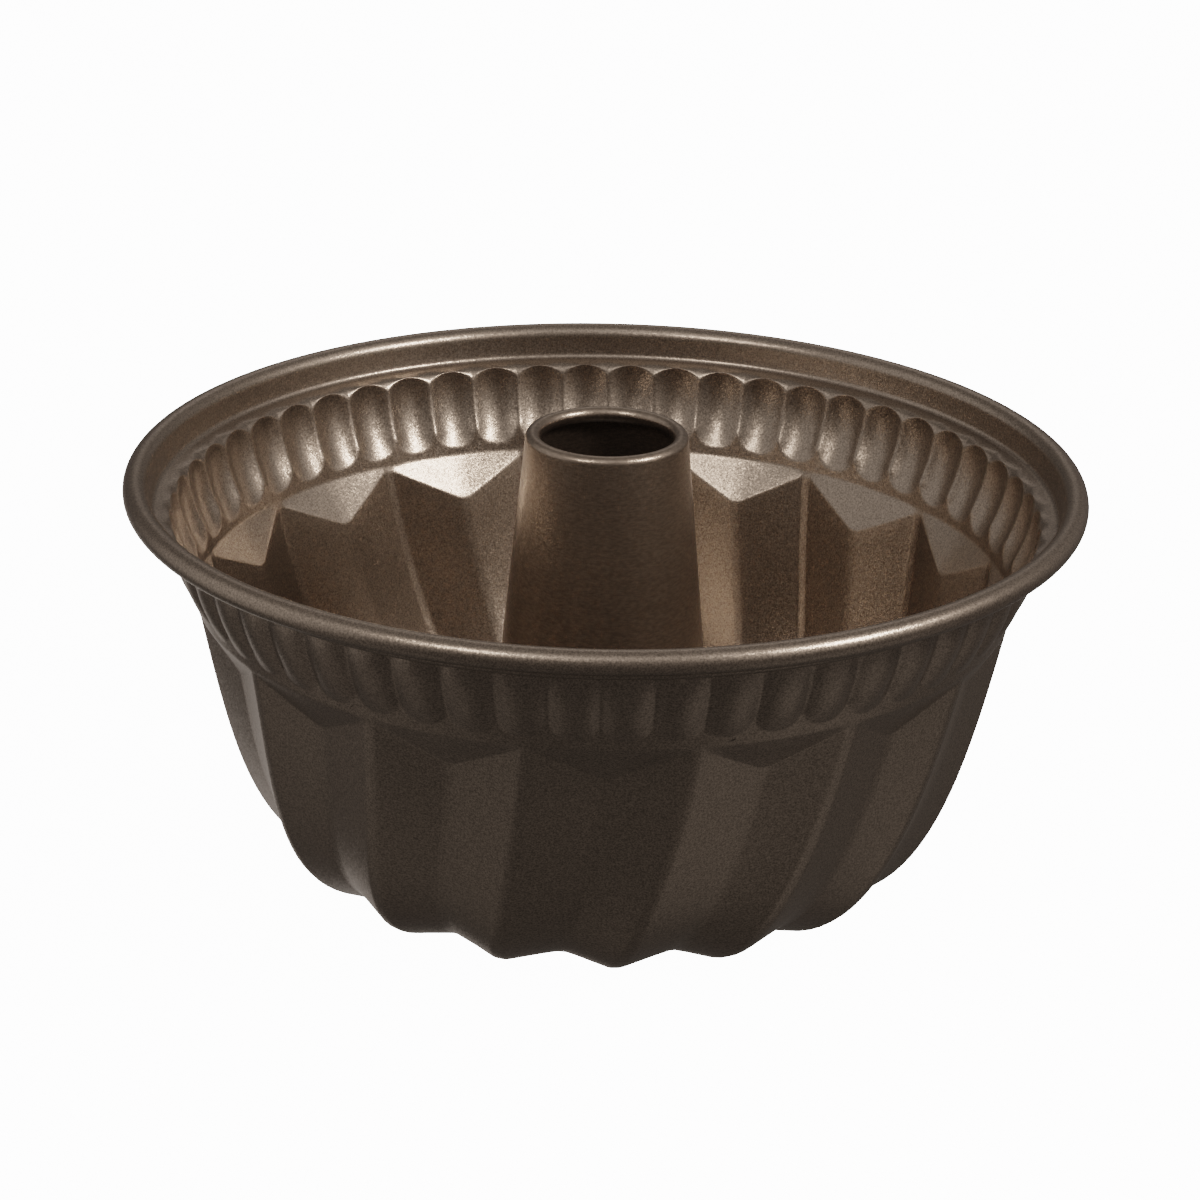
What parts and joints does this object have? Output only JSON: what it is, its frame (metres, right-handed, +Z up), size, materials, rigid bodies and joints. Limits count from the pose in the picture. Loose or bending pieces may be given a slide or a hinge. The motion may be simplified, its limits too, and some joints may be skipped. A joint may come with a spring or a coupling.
{
  "type": "pudding mould",
  "caption": "Ring-shaped pudding mould of dark coated sheet steel, with a fluted belt, a twisted ridged wall, a curled rim and a tapered centre tube.",
  "frame": {"origin": "on the surface that the mould stands on, opening upwards, below the middle of the rim", "axes": "+Z up along the centre tube; -Y is the side that the picture shows in front, +X to its right"},
  "size_m": [0.25, 0.25, 0.1203],
  "materials": {
    "bronze_coating": "dark bronze metallic non-stick coating with a fine sparkling grain, satin",
    "bronze_tube_coating": "the same dark bronze coating over a turned tube, with faint lines round it, satin",
    "steel_wire": "plain drawn steel wire"
  },
  "bodies": {
    "root": {"mould_body": "bronze_coating", "centre_tube": "bronze_tube_coating", "rim_wire": "steel_wire"}
  },
  "joints": []
}
